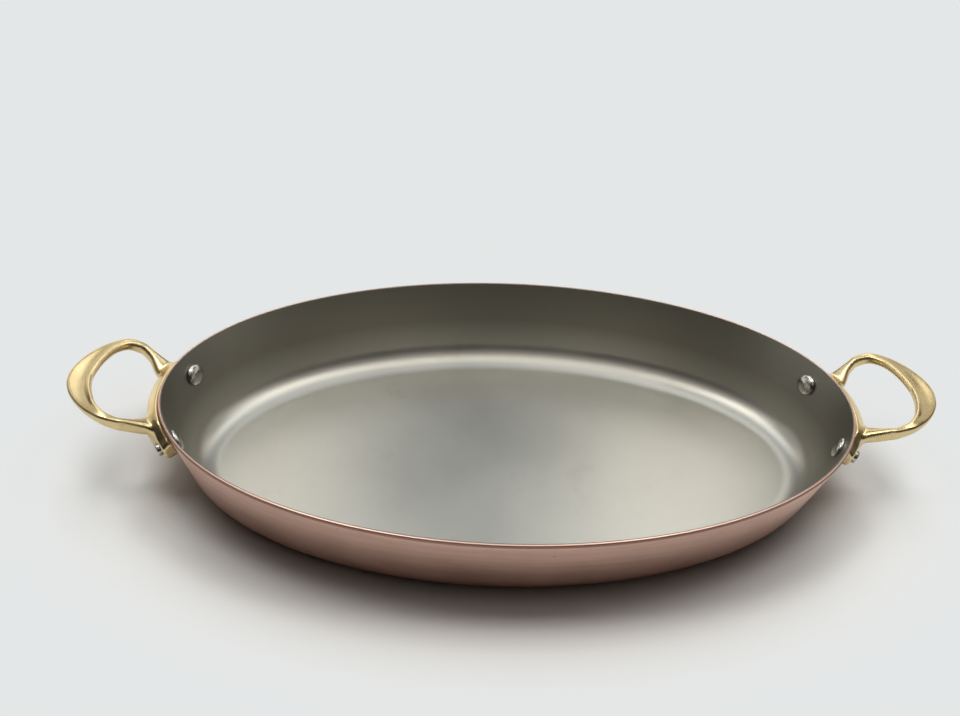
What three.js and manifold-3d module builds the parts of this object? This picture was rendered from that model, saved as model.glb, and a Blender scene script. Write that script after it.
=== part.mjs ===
import * as THREE from 'three';
import { mergeVertices } from 'three/addons/utils/BufferGeometryUtils.js';
import Module from 'manifold-3d';

// Oval copper gratin pan with a steel lining and two riveted cast brass loop handles.
// Millimetres. +Z is up, the base stands on z = 0 and the long axis of the oval runs along X.

// Pan body
const RIM_LENGTH = 350;
const RIM_WIDTH = 210;
const RIM_HEIGHT = 47;
const WALL_FLARE = THREE.MathUtils.degToRad(17);
const CORNER_RADIUS = 17;
const COPPER = 1.25;
const BOND_GAP = 0.05;
const LINING = 0.35;
const LIP_ROUNDING = 0.45;
const OVAL_STEPS = 84;
const CORNER_STEPS = 6;

// Rivets, four alike, set square to the wall
const RIVET_ACROSS = 26.6;
const RIVET_DEPTH = 12.9;
const HEAD_RADIUS = 5.6;
const HEAD_HEIGHT = 2.6;
const HEAD_GAP = 0.2;
const SHANK_RADIUS = 2.5;
const HOLE_RADIUS = 2.8;
const TAIL_RADIUS = 3.4;
const TAIL_HEIGHT = 2.3;
const SEAT_RADIUS = 4;
const RIVET_STEPS = 20;

// Mounting flange of a handle, a strip that follows the wall and ends in two lugs
const FLANGE_GAP = 0.25;
const FLANGE_THICKNESS = 6.6;
const FLANGE_TOP = 1.2;
const FLANGE_BOTTOM = 11;
const FLANGE_END = 31.2;
const LUG_THICKNESS = 6;
const LUG_TOP = 6.4;
const LUG_BOTTOM = 18.9;
const LUG_WIDENS = [10, 20];
const LUG_DROPS = [23, 28];
const WEB_SWELL = 3.2;
const WEB_RISES = [12, 19.5];
const WEB_ENDS = [19.5, 24];
const TOP_SLOPE = 1.5;
const FLANGE_STEPS = 25;

// Handle loop, half of it from the middle of the grip to the root in the flange:
// distance beyond the pan's end, distance from the long axis, height above the rim,
// half width, half thickness, sideways tilt in degrees, share of the grip section
const LOOP_STATIONS = [
  [36.4, 0.0, 5.8, 5.9, 2.05, 6, 1.0],
  [34.7, 9.0, 6.2, 5.6, 2.1, 3, 1.0],
  [31.1, 17.2, 6.4, 4.7, 2.25, 0, 0.85],
  [26.3, 24.2, 5.9, 3.5, 2.6, -2, 0.45],
  [20.2, 28.9, 4.6, 2.65, 2.95, -4, 0.1],
  [14.0, 29.6, 1.7, 2.15, 3.1, -3, 0.0],
  [7.6, 26.8, -2.5, 2.15, 3.15, -1, 0.0],
  [2.2, 23.4, -6.4, 2.7, 3.2, 1, 0.0],
  [-2.8, 20.8, -9.8, 4.4, 3.2, 2, 0.0],
];
const LOOP_STEPS = 60;

// Section of the broad grip: across from the inner side (-1) to the outer side (+1) and up
// from the underside (-1) to the crest (+1) of the bead that runs along the inner edge
const GRIP_SECTION = [
  [1.0, -0.05], [0.97, 0.3], [0.84, 0.52], [0.55, 0.46], [0.2, 0.34], [-0.15, 0.3],
  [-0.4, 0.38], [-0.52, 0.7], [-0.66, 0.97], [-0.82, 0.92], [-0.95, 0.55], [-1.0, 0.05],
  [-0.97, -0.45], [-0.82, -0.8], [-0.45, -0.97], [0.0, -1.0], [0.45, -0.9], [0.82, -0.55],
];
const INNER_EDGE = 11;
const ARM_SQUARENESS = 2.7;

// Colours of the metals
const copper = new THREE.MeshStandardMaterial({ color: 0xb7795f, roughness: 0.38, metalness: 1 });
const steel = new THREE.MeshStandardMaterial({ color: 0xa9a69e, roughness: 0.45, metalness: 1 });
const brass = new THREE.MeshStandardMaterial({ color: 0xc2a15a, roughness: 0.25, metalness: 1 });
const bright = new THREE.MeshStandardMaterial({ color: 0xb4b3ae, roughness: 0.2, metalness: 1 });

const wasm = await Module();
wasm.setup();

// Welded copy of a geometry that keeps positions only and drops faces without area
function closed(geometry) {
  const plain = new THREE.BufferGeometry();
  plain.setAttribute('position', geometry.getAttribute('position').clone());
  if (geometry.index) plain.setIndex(geometry.index.clone());
  const welded = mergeVertices(plain, 1e-4);
  const index = welded.index.array;
  const kept = [];
  for (let i = 0; i < index.length; i += 3) {
    const [a, b, c] = [index[i], index[i + 1], index[i + 2]];
    if (a !== b && b !== c && c !== a) kept.push(a, b, c);
  }
  welded.setIndex(kept);
  return welded;
}

function solid(geometry) {
  const welded = closed(geometry);
  return new wasm.Manifold(new wasm.Mesh({
    numProp: 3,
    vertProperties: new Float32Array(welded.getAttribute('position').array),
    triVerts: new Uint32Array(welded.index.array),
  }));
}

function surface(body) {
  const mesh = body.getMesh();
  const geometry = new THREE.BufferGeometry();
  geometry.setAttribute('position', new THREE.BufferAttribute(new Float32Array(mesh.vertProperties), 3));
  geometry.setIndex(new THREE.BufferAttribute(new Uint32Array(mesh.triVerts), 1));
  return geometry;
}

function part(name, geometry, material) {
  const shaded = geometry.index ? geometry.toNonIndexed() : geometry;
  shaded.computeVertexNormals();
  const mesh = new THREE.Mesh(shaded, material);
  mesh.name = name;
  return mesh;
}

// Skin over a row of rings with equally many points, each end closed to a hub point. The points
// of a ring run anticlockwise as seen from the ring after it.
function skin(rings) {
  const count = rings[0].length;
  const points = rings.flat();
  const hub = (ring) => ring.reduce((sum, p) => sum.add(p), new THREE.Vector3()).divideScalar(count);
  const first = points.push(hub(rings[0])) - 1;
  const last = points.push(hub(rings[rings.length - 1])) - 1;
  const faces = [];
  const face = (a, b, c) => faces.push(a, b, c);
  for (let i = 0; i < count; i++) {
    const j = (i + 1) % count;
    const end = (rings.length - 1) * count;
    face(first, j, i);
    face(last, end + i, end + j);
    for (let r = 0; r + 1 < rings.length; r++) {
      const [low, high] = [r * count, (r + 1) * count];
      face(low + i, low + j, high + j);
      face(low + i, high + j, high + i);
    }
  }
  const geometry = new THREE.BufferGeometry().setFromPoints(points);
  geometry.setIndex(faces);
  return geometry;
}

// Point of the rim oval moved inwards along its own normal by the inset
function ovalPoint(angle, inset, z) {
  const [a, b] = [RIM_LENGTH / 2, RIM_WIDTH / 2];
  const normal = new THREE.Vector2(Math.cos(angle) / a, Math.sin(angle) / b).normalize();
  const x = a * Math.cos(angle) - inset * normal.x;
  const y = b * Math.sin(angle) - inset * normal.y;
  return new THREE.Vector3(x, y, z);
}

function oval([inset, z]) {
  return Array.from({ length: OVAL_STEPS }, (_, i) => ovalPoint((i / OVAL_STEPS) * 2 * Math.PI, inset, z));
}

// Half section of the pan at a depth below its outer face, from the floor's edge up to the rim:
// flat floor, round corner, straight flared wall
function panSection(depth, top = RIM_HEIGHT) {
  const centre = (RIM_HEIGHT - CORNER_RADIUS) * Math.tan(WALL_FLARE) + CORNER_RADIUS / Math.cos(WALL_FLARE);
  const radius = CORNER_RADIUS - depth;
  const section = [];
  for (let i = 0; i <= CORNER_STEPS; i++) {
    const turn = Math.PI / 2 + (i / CORNER_STEPS) * (WALL_FLARE - Math.PI / 2);
    section.push([centre - radius * Math.cos(turn), CORNER_RADIUS - radius * Math.sin(turn)]);
  }
  section.push([(RIM_HEIGHT - top) * Math.tan(WALL_FLARE) + depth / Math.cos(WALL_FLARE), top]);
  return section;
}

// Copper shell: outer face up to the rounded lip, then down the bonded face
function shellGeometry() {
  const outer = panSection(0, RIM_HEIGHT - LIP_ROUNDING);
  const lip = [[0.12, RIM_HEIGHT - 0.12], [LIP_ROUNDING, RIM_HEIGHT]];
  const inner = panSection(COPPER).reverse();
  return skin([...outer, ...lip, ...inner].map(oval));
}

// Steel lining: bonded face up to the rim, then down the cooking face
function liningGeometry() {
  const outer = panSection(COPPER + BOND_GAP);
  const inner = panSection(COPPER + BOND_GAP + LINING).reverse();
  return skin([...outer, ...inner].map(oval));
}

// Point beside the wall: angle round the oval, distance down the wall's slope from the rim and
// distance out from the wall's face
function besideWall(angle, down, out) {
  const inset = down * Math.sin(WALL_FLARE) - out * Math.cos(WALL_FLARE);
  const z = RIM_HEIGHT - down * Math.cos(WALL_FLARE) - out * Math.sin(WALL_FLARE);
  return ovalPoint(angle, inset, z);
}

// Angle round the oval at which a point beside the wall lies at a given distance from the long axis
function angleAt(across, down, out) {
  let angle = 0;
  for (let i = 0; i < 12; i++) {
    const y = besideWall(angle, down, out).y;
    const slope = (besideWall(angle + 1e-4, down, out).y - y) / 1e-4;
    angle += (across - y) / slope;
  }
  return angle;
}

// Flange and lugs: one strip along the wall whose section grows from the middle to the lugs
function flangeGeometry() {
  const limit = angleAt(FLANGE_END, RIVET_DEPTH, 0);
  const rings = [];
  for (let i = 0; i <= FLANGE_STEPS; i++) {
    const angle = limit * Math.sin(((i / FLANGE_STEPS) * 2 - 1) * 1.35) / Math.sin(1.35);
    const across = Math.abs(besideWall(angle, RIVET_DEPTH, 0).y);
    const lower = THREE.MathUtils.smoothstep(across, ...LUG_WIDENS);
    const upper = THREE.MathUtils.smoothstep(across, ...LUG_DROPS);
    const ending = THREE.MathUtils.smoothstep(across, FLANGE_END - 4.5, FLANGE_END);
    const draw = 1.9 * ending * ending;
    const top = THREE.MathUtils.lerp(FLANGE_TOP, LUG_TOP, upper) + draw;
    const bottom = THREE.MathUtils.lerp(FLANGE_BOTTOM, LUG_BOTTOM, lower) - draw;
    const rise = THREE.MathUtils.smoothstep(across, ...WEB_RISES);
    const web = WEB_SWELL * rise * (1 - THREE.MathUtils.smoothstep(across, ...WEB_ENDS));
    const out = THREE.MathUtils.lerp(FLANGE_THICKNESS, LUG_THICKNESS, lower) + web - 0.5 * draw;
    rings.push(flangeRing(angle, top, bottom, out));
  }
  return skin(rings);
}

// Section of the flange: flat back on the wall, chamfered upper back edge, top that falls
// outwards and rounded outer edges
function flangeRing(angle, top, bottom, out) {
  const outline = new THREE.Shape();
  const round = 1.7;
  const shoulder = top + TOP_SLOPE;
  outline.moveTo(bottom - 0.4, FLANGE_GAP);
  outline.lineTo(top + 1.2, FLANGE_GAP);
  outline.quadraticCurveTo(top + 0.2, FLANGE_GAP + 0.3, top, FLANGE_GAP + 1.4);
  outline.lineTo(shoulder - 0.3, out - round);
  outline.quadraticCurveTo(shoulder, out, shoulder + round, out);
  outline.lineTo(bottom - round, out);
  outline.quadraticCurveTo(bottom, out, bottom, out - round);
  outline.lineTo(bottom, FLANGE_GAP + 0.4);
  return outline.getPoints(2).map(({ x: down, y: away }) => besideWall(angle, down, away));
}

// Superellipse of an arm, with as many points over and under its edges as the grip section has
function armPoint(index) {
  const below = GRIP_SECTION.length - INNER_EDGE;
  const share = index <= INNER_EDGE ? index / INNER_EDGE : 1 + (index - INNER_EDGE) / below;
  const round = (value) => Math.sign(value) * Math.abs(value) ** (2 / ARM_SQUARENESS);
  return [round(Math.cos(share * Math.PI)), round(Math.sin(share * Math.PI))];
}

// Handle loop: grip and both arms lofted through the stations and their mirror images
function loopGeometry() {
  const mirrored = LOOP_STATIONS.slice(1).map(([x, y, ...rest]) => [x, -y, ...rest]);
  const stations = [...LOOP_STATIONS.toReversed(), ...mirrored];
  const place = ([beyond, across, above]) =>
    new THREE.Vector3(RIM_LENGTH / 2 + beyond, across, RIM_HEIGHT + above);
  const path = new THREE.CatmullRomCurve3(stations.map(place), false, 'catmullrom', 0.5);
  const size = new THREE.CatmullRomCurve3(
    stations.map((s) => new THREE.Vector3(s[3], s[4], s[5])), false, 'catmullrom', 0.5);
  const blend = new THREE.CatmullRomCurve3(
    stations.map((s, i) => new THREE.Vector3(s[6], i, 0)), false, 'catmullrom', 0.5);
  const rings = [];
  for (let i = 0; i <= LOOP_STEPS; i++) {
    const t = i / LOOP_STEPS;
    const centre = path.getPoint(t);
    const along = path.getTangent(t);
    const { x: halfWidth, y: halfHeight, z: tilt } = size.getPoint(t);
    const grip = THREE.MathUtils.clamp(blend.getPoint(t).x, 0, 1);
    const outward = new THREE.Vector3().crossVectors(new THREE.Vector3(0, 0, 1), along).normalize();
    outward.applyAxisAngle(along, THREE.MathUtils.degToRad(tilt));
    const upward = new THREE.Vector3().crossVectors(along, outward).normalize();
    rings.push(GRIP_SECTION.map((point, index) => {
      const arm = armPoint(index);
      const across = THREE.MathUtils.lerp(arm[0], point[0], grip) * halfWidth;
      const up = THREE.MathUtils.lerp(arm[1], point[1], grip) * halfHeight;
      return centre.clone().addScaledVector(outward, across).addScaledVector(upward, up);
    }));
  }
  return skin(rings);
}

// Frame of a rivet: origin on the wall's outer face, Y out of the pan, X round the oval
function rivetFrame(across) {
  const angle = angleAt(across, RIVET_DEPTH, 0);
  const origin = besideWall(angle, RIVET_DEPTH, 0);
  const out = besideWall(angle, RIVET_DEPTH, 1).sub(origin).normalize();
  const up = besideWall(angle, RIVET_DEPTH - 1, 0).sub(origin).normalize();
  const round = new THREE.Vector3().crossVectors(out, up).normalize();
  return new THREE.Matrix4().makeBasis(round, out, up).setPosition(origin);
}

// Rivet: low domed head inside the pan, shank through wall and lug, button tail outside
function rivetGeometry(across) {
  const seat = -(COPPER + BOND_GAP + LINING + HEAD_GAP);
  const lug = LUG_THICKNESS + 0.06;
  const profile = [new THREE.Vector2(0, seat - HEAD_HEIGHT)];
  for (const turn of [18, 36, 54, 72]) {
    const angle = THREE.MathUtils.degToRad(turn);
    const dome = (HEAD_HEIGHT - 0.5) * Math.cos(angle) ** 0.9 + 0.5;
    profile.push(new THREE.Vector2(HEAD_RADIUS * Math.sin(angle), seat - dome));
  }
  profile.push(new THREE.Vector2(HEAD_RADIUS, seat - 0.5));
  profile.push(new THREE.Vector2(HEAD_RADIUS - 0.1, seat));
  profile.push(new THREE.Vector2(SHANK_RADIUS, seat));
  profile.push(new THREE.Vector2(SHANK_RADIUS, lug));
  profile.push(new THREE.Vector2(TAIL_RADIUS, lug));
  profile.push(new THREE.Vector2(TAIL_RADIUS, lug + TAIL_HEIGHT - 1));
  profile.push(new THREE.Vector2(TAIL_RADIUS * 0.84, lug + TAIL_HEIGHT - 0.25));
  profile.push(new THREE.Vector2(0, lug + TAIL_HEIGHT));
  const geometry = closed(new THREE.LatheGeometry(profile, RIVET_STEPS));
  bendHead(geometry.getAttribute('position'), seat);
  return geometry.applyMatrix4(rivetFrame(across));
}

// The head is formed against the concave wall and follows its curve round the oval
function bendHead(position, seat) {
  const wallRadius = (RIM_WIDTH / 2) ** 2 / (RIM_LENGTH / 2) - 2;
  for (let i = 0; i < position.count; i++) {
    const y = position.getY(i);
    if (y <= seat + 1e-3) position.setY(i, y - position.getX(i) ** 2 / (2 * wallRadius));
  }
}

function holeSolid(across) {
  const drill = new THREE.CylinderGeometry(HOLE_RADIUS, HOLE_RADIUS, 40, RIVET_STEPS);
  return solid(drill.applyMatrix4(rivetFrame(across)));
}

// Flat seat milled into the lug for the rivet's tail
function seatSolid(across) {
  const mill = new THREE.CylinderGeometry(SEAT_RADIUS, SEAT_RADIUS, 12, RIVET_STEPS);
  mill.translate(0, LUG_THICKNESS + 6, 0);
  return solid(mill.applyMatrix4(rivetFrame(across)));
}

// Handle at the right end: loop joined to the flange, drilled for its two rivets
function handleSolid() {
  let cast = solid(loopGeometry()).add(solid(flangeGeometry()));
  for (const across of [RIVET_ACROSS, -RIVET_ACROSS]) {
    cast = cast.subtract(holeSolid(across)).subtract(seatSolid(across));
  }
  return cast;
}

// Copy of a right-hand body turned half round the vertical axis to the left end
function turned(geometry) {
  return geometry.clone().applyMatrix4(new THREE.Matrix4().makeRotationZ(Math.PI));
}

function drilled(geometry) {
  let body = solid(geometry);
  for (const across of [RIVET_ACROSS, -RIVET_ACROSS]) {
    const hole = holeSolid(across);
    body = body.subtract(hole).subtract(hole.rotate([0, 0, 180]));
  }
  return surface(body);
}

const handle = surface(handleSolid());
const farRivet = rivetGeometry(RIVET_ACROSS);
const nearRivet = rivetGeometry(-RIVET_ACROSS);

const pan = new THREE.Group();
pan.name = 'gratin_pan';
pan.add(
  part('copper_shell', drilled(shellGeometry()), copper),
  part('steel_lining', drilled(liningGeometry()), steel),
  part('right_handle', handle, brass),
  part('left_handle', turned(handle), brass),
  part('right_far_rivet', farRivet, bright),
  part('right_near_rivet', nearRivet, bright),
  part('left_far_rivet', turned(nearRivet), bright),
  part('left_near_rivet', turned(farRivet), bright),
);

export default pan;
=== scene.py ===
import math

import bmesh
import bpy
import numpy as np
from mathutils import Matrix, Vector
from mathutils.bvhtree import BVHTree


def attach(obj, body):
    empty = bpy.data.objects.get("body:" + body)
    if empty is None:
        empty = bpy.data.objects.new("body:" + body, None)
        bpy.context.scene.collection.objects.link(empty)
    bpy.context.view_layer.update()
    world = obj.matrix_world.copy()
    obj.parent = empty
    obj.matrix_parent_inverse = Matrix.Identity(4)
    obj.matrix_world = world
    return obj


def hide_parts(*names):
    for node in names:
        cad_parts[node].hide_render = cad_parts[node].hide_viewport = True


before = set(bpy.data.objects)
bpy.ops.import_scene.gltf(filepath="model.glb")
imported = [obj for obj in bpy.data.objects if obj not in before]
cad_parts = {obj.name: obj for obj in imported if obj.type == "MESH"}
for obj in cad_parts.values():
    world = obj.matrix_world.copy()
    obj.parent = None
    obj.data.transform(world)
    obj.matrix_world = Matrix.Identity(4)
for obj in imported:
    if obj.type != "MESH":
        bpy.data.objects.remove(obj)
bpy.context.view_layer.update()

# Oval copper gratin pan with a steel lining and two riveted cast brass loop handles.
# Metres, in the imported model's frame: the base stands on z = 0, the long axis runs along X
# and +Y points away from the camera.

MM = 0.001

# Meshes: the angle that counts as an edge, the smallest step, and how closely places are solved
SHARP_ANGLE = math.radians(38)
TINY = 0.001 * MM
SMALL_TURN = 1e-4
SOLVING_ROUNDS = 12

# Pan body
RIM_LENGTH = 350 * MM
RIM_WIDTH = 210 * MM
RIM_HEIGHT = 47 * MM
WALL_FLARE = math.radians(17)
CORNER_RADIUS = 17 * MM
COPPER = 1.25 * MM
BOND_GAP = 0.05 * MM
LINING = 0.35 * MM
LIP_ROUNDING = 0.8 * MM
EDGE_ROUNDING = 0.12 * MM
OVAL_STEPS = 360
CORNER_STEPS = 22
WALL_STEPS = 9
LIP_STEPS = 7

# Arcs of the two inner edges of the lip, in degrees
SHELL_EDGE = (90, 170)
LINING_EDGE = (20, 160)

# Rivets, four alike, set square to the wall
RIVET_ACROSS = 26.6 * MM
RIVET_DEPTH = 12.9 * MM
HEAD_RADIUS = 5.6 * MM
HEAD_HEIGHT = 2.6 * MM
HEAD_RIM = 0.5 * MM
HEAD_GAP = 0.2 * MM
HEAD_TIP = 0.01 * MM
WALL_INSIDE = 2 * MM
SHANK_RADIUS = 2.5 * MM
HOLE_RADIUS = 2.8 * MM
TAIL_RADIUS = 3.4 * MM
TAIL_HEIGHT = 2.3 * MM
TAIL_GAP = 0.06 * MM
TAIL_CHAMFER = 0.15 * MM
TAIL_SHOULDER = 0.75 * MM
TAIL_CROWN = 0.3 * MM
CROWN_SHARES = (0.6, 0.3, 0.004)
SEAT_RADIUS = 4 * MM
RIVET_SIDES = 72
DOME_STEPS = 14
SHOULDER_STEPS = 8

# Rim of a rivet's head: in from its radius, and back from its seat
HEAD_EDGE = ((0, 0.25 * MM), (0.06 * MM, 0.08 * MM), (0.2 * MM, 0))

# Mounting flange of a handle
FLANGE_GAP = 0.25 * MM
FLANGE_THICKNESS = 6.6 * MM
FLANGE_TOP = 1.2 * MM
FLANGE_BOTTOM = 11 * MM
FLANGE_END = 31.2 * MM
LUG_THICKNESS = 6 * MM
LUG_TOP = 6.4 * MM
LUG_BOTTOM = 18.9 * MM
LUG_WIDENS = (11 * MM, 23 * MM)
LUG_DROPS = (21.5 * MM, 29.5 * MM)
END_ROUNDING = 5.5 * MM
END_DRAW = 3.2 * MM
END_THINNING = 0.2
WEB_SWELL = 3.2 * MM
WEB_RISES = (12 * MM, 19.5 * MM)
WEB_ENDS = (19.5 * MM, 24 * MM)
TOP_SLOPE = 1.5 * MM
TOP_LEAN = 0.3 * MM
EDGE_ROUND = 1.7 * MM
BACK_CHAMFER = 0.4 * MM
BACK_EASE = (1.2 * MM, 1.4 * MM)
BACK_EASE_BEND = (0.2 * MM, 0.3 * MM)
EDGE_STEPS = 6
FLANGE_STEPS = 140
FLANGE_CROWDING = 1.35

# Handle loop, half of it from the middle of the grip to the root in the flange, in millimetres:
# distance beyond the pan's end, distance from the long axis, height above the rim,
# half width, half thickness, sideways tilt in degrees, share of the grip section
LOOP_STATIONS = (
    (36.4, 0.0, 5.8, 5.9, 2.05, 6, 1.0),
    (34.7, 9.0, 6.2, 5.6, 2.1, 3, 1.0),
    (31.1, 17.2, 6.4, 4.7, 2.25, 0, 0.85),
    (26.3, 24.2, 5.9, 3.5, 2.6, -2, 0.45),
    (20.2, 28.9, 4.6, 2.65, 2.95, -4, 0.1),
    (14.0, 29.6, 1.7, 2.15, 3.1, -3, 0.0),
    (10.7, 28.2, -0.4, 2.3, 3.15, -2, 0.0),
    (7.6, 26.3, -2.5, 3.0, 3.15, -1, 0.0),
    (5.0, 24.2, -4.4, 4.2, 3.2, 0, 0.0),
    (2.4, 22.1, -6.2, 5.5, 3.2, 1, 0.0),
    (-0.3, 20.5, -8.1, 6.3, 3.2, 1.5, 0.0),
    (-2.8, 19.4, -9.8, 6.3, 3.2, 2, 0.0),
)
LOOP_STEPS = 320

# Section of the broad grip: across from the inner side (-1) to the outer side (+1) and up
# from the underside (-1) to the crest (+1) of the bead that runs along the inner edge
GRIP_SECTION = (
    (1.0, -0.05), (0.97, 0.3), (0.84, 0.52), (0.55, 0.46), (0.2, 0.34), (-0.15, 0.3),
    (-0.4, 0.38), (-0.52, 0.7), (-0.66, 0.97), (-0.82, 0.92), (-0.95, 0.55), (-1.0, 0.05),
    (-0.97, -0.45), (-0.82, -0.8), (-0.45, -0.97), (0.0, -1.0), (0.45, -0.9), (0.82, -0.55),
)
INNER_EDGE = 11
ARM_OUTER_SQUARENESS = 2.8
ARM_INNER_SQUARENESS = 2.0
SECTION_REFINEMENT = 5

# Casting: grain of the blended skin, reach and passes of the smoothing where the arms meet the
# flange and round the rivet seats, and how far the drills run
CAST_GRAIN = 0.34 * MM
FILLET_REACH = 3.4 * MM
FILLET_PASSES = 120
SEAT_EASE = 2 * MM
SEAT_EDGE_OUT = 1.2 * MM
SEAT_FLOOR_DEPTH = 0.3 * MM
SEAT_PASSES = 60
POLISH_PASSES = 12
SMOOTHING = 0.5
SEAT_CUT_RISES = 12 * MM
HOLE_CUT = (-6 * MM, 30 * MM)

# Finishes: colours, the places and shares of their marks, the range of the roughness, and the
# depth and strength of the relief

# Copper
COPPER_PLAIN = (0.74, 0.5, 0.42)
COPPER_DEEP = (0.72, 0.455, 0.365)
COPPER_BRIGHT = (0.87, 0.62, 0.525)
COPPER_HANDLED = (0.6, 0.36, 0.28)
# Painted shade: the colour that the copper wall darkens to towards its foot
COPPER_PAINTED_SHADE = (0.38, 0.2, 0.14)
COPPER_SPECK = (0.2, 0.1, 0.07)
# Painted dark reflection: the colour of a thin line just under the lip
COPPER_DARK_REFLECTION = (0.24, 0.11, 0.07)
COPPER_ROUGHNESS = (0.31, 0.4)
STREAKS_ROUGHEN = 0.07
BAND_SHARE = 0.6
STREAK_SHARE = 0.4
HAIRLINE_WEIGHT = 0.5
# Painted shade at the foot: the heights over which it fades, how far it wanders, and its share
PAINTED_SHADE_FADES = (12 * MM, 40 * MM)
PAINTED_SHADE_WANDERS = 14 * MM
PAINTED_SHADE_SHARE = 0.8
SMUDGE_SHOWS = (0.56, 0.74)
SMUDGE_SHARE = 0.4
SPECKS = 95.0
SPECK_EDGE = (0.035, 0.05)
SPECK_SHARE = 0.55
# Painted dark reflection under the lip: the heights where it starts and ends, and its share
DARK_REFLECTION_STARTS = (44.7 * MM, 45.5 * MM)
DARK_REFLECTION_ENDS = (46.6 * MM, 46.9 * MM)
DARK_REFLECTION_SHARE = 0.8
COPPER_RELIEF = (0.012 * MM, 0.4)

# Lining steel
STEEL_PLAIN = (0.49, 0.475, 0.43)
STEEL_DEEP = (0.455, 0.44, 0.395)
STEEL_BRIGHT = (0.52, 0.505, 0.455)
STEEL_RUBBED = (0.36, 0.345, 0.3)
# Painted shade: the colour that the lining darkens to up its wall
STEEL_PAINTED_WALL_SHADE = (0.315, 0.3, 0.26)
STEEL_ROUGHNESS = (0.34, 0.39)
BRUSHING_ROUGHENS = 0.04
SPECKLE_WEIGHT = 0.6
RUBBED_SHOWS = (0.6, 0.74)
RUBBED_SHARE = 0.3
# Painted shade on the lining wall: the heights over which it comes in
WALL_SHADE_HEIGHTS = (12 * MM, 26 * MM)
STEEL_RELIEF = (0.01 * MM, 0.3)

# Handle brass
BRASS_PLAIN = (0.75, 0.6, 0.33)
BRASS_DEEP = (0.69, 0.53, 0.27)
BRASS_BRIGHT = (0.8, 0.65, 0.37)
BRASS_ROUGHNESS = (0.23, 0.31)
SCRATCHES_ROUGHEN = 0.06
PITS = 260.0
PIT_EDGE = (0.05, 0.16)
PIT_WEIGHT = 0.4
BRASS_RELIEF = (0.005 * MM, 0.16)

# Rivet steel
RIVET_PLAIN = (0.56, 0.54, 0.5)
RIVET_DEEP = (0.46, 0.445, 0.4)
RIVET_BRIGHT = (0.62, 0.6, 0.55)
RIVET_ROUGHNESS = (0.14, 0.26)
MARKS_ROUGHEN = 0.05
RIVET_RELIEF = (0.014 * MM, 0.3)

# Grains by name: waves to the metre along X, Y and Z, layers of detail, strength of each layer
GRAINS = {
    "copper_bands": ((9, 9, 420), 5.0, 0.6),
    "copper_streaks": ((22, 22, 1700), 4.0, 0.5),
    "copper_hairlines": ((60, 60, 7000), 2.0, 0.5),
    "copper_clouds": ((24, 24, 24), 5.0, 0.6),
    "copper_smudges": ((34, 34, 110), 6.0, 0.65),
    "steel_brushing": ((260, 1500, 900), 3.0, 0.5),
    "steel_speckle": ((1900, 1900, 1900), 2.0, 0.5),
    "steel_clouds": ((13, 13, 13), 4.0, 0.55),
    "steel_patches": ((38, 30, 60), 5.0, 0.65),
    "brass_scratches": ((420, 900, 3200), 3.0, 0.5),
    "brass_swirls": ((2600, 500, 700), 3.0, 0.5),
    "brass_clouds": ((60, 60, 60), 4.0, 0.6),
    "brass_waves": ((170, 170, 170), 2.0, 0.5),
    "rivet_marks": ((900, 2600, 900), 3.0, 0.5),
    "rivet_clouds": ((160, 160, 160), 3.0, 0.5),
}
GRAIN_SPREAD = (0.3, 0.7)

# Studio: floor, room and the tent of soft panels round the pan
FLOOR_REACH = 30.0
PAPER_LIT = (0.8, 0.8, 0.8)
PAPER_ROUGHNESS = 0.8
PAPER_GLOSS = 0.1
PAPER_IN_FRONT = (1.25, 1.26, 1.26)
PAPER_BEHIND = (0.85, 0.86, 0.86)
PAPER_TURNS = (-0.06, 0.11)
# Painted shadow on the paper close round the pan: its reach and its darkest share
PAINTED_SHADOW_SPAN = (0.088, 0.124)
PAINTED_SHADOW_TONE = 0.42
SHADOW_REACH = (0.11, 0.16)
BACKGROUND = (0.78, 0.8, 0.8)
ROOM_ABOVE = (0.08, 0.08, 0.08)
ROOM_FADES = (0.0, 0.25)
ROOM_LIGHT = 0.1
FLAG_BLACK = (0.01, 0.01, 0.01)
FLAG_DISTANCE = 0.75
FLAG_HALF_WIDTH = 1.2
FLAG_HEIGHT = 0.8

# Camera: its turns in radians, the point it looks at and how far off it stands
CAMERA_YAW = 0.100640
CAMERA_PITCH = 0.628225
CAMERA_ROLL = -0.077408
CAMERA_TARGET = (-15.59 * MM, 29.06 * MM, RIM_HEIGHT)
CAMERA_DISTANCE = 530.79 * MM
CAMERA_LENS = 37.82
CAMERA_SENSOR = 36.0

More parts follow.
